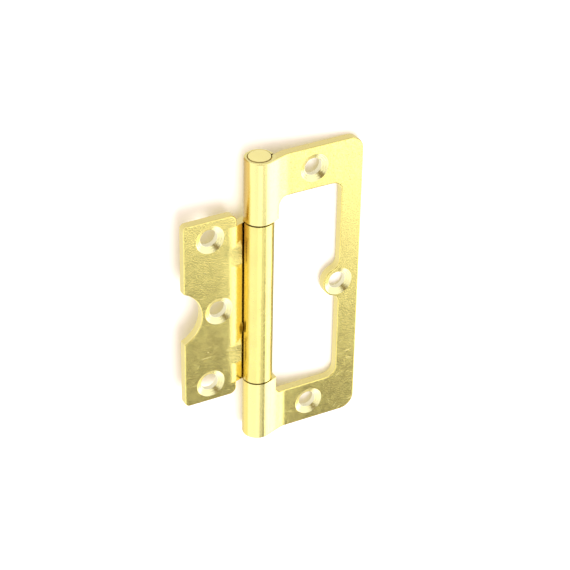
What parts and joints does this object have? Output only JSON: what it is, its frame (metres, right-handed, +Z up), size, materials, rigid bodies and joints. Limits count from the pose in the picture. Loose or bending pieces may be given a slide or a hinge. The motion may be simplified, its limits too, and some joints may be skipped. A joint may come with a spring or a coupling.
{
  "type": "hurl hinge",
  "caption": "Flush hinge of brass-plated pressed steel: a small leaf on a rolled barrel swings out of the window in a larger leaf, on a fixed pin, with countersunk screw holes in both leaves.",
  "frame": {"origin": "midway between the frame leaf's two end screws, on the back face that lies against the door frame", "axes": "+Z up along the pin, +X across the frame leaf away from the pin, -Y out of the countersunk front faces"},
  "size_m": [0.044, 0.007, 0.076],
  "materials": {
    "plated_sheet": "bright brass plating on pressed steel, with fine rolling grain and light scratches",
    "plated_pin": "brass plating on the spread end of a steel pin, slightly duller than the leaves"
  },
  "bodies": {
    "frame_side": {"frame_leaf": "plated_sheet", "hinge_pin": "plated_pin"},
    "door_side": {"door_leaf": "plated_sheet"}
  },
  "joints": [
    {"name": "door_swing", "type": "hinge", "parent": "frame_side", "child": "door_side", "pos_m": [-0.01295, -0.0004, 0], "axis": [0, 0, 1], "continuous": true}
  ]
}
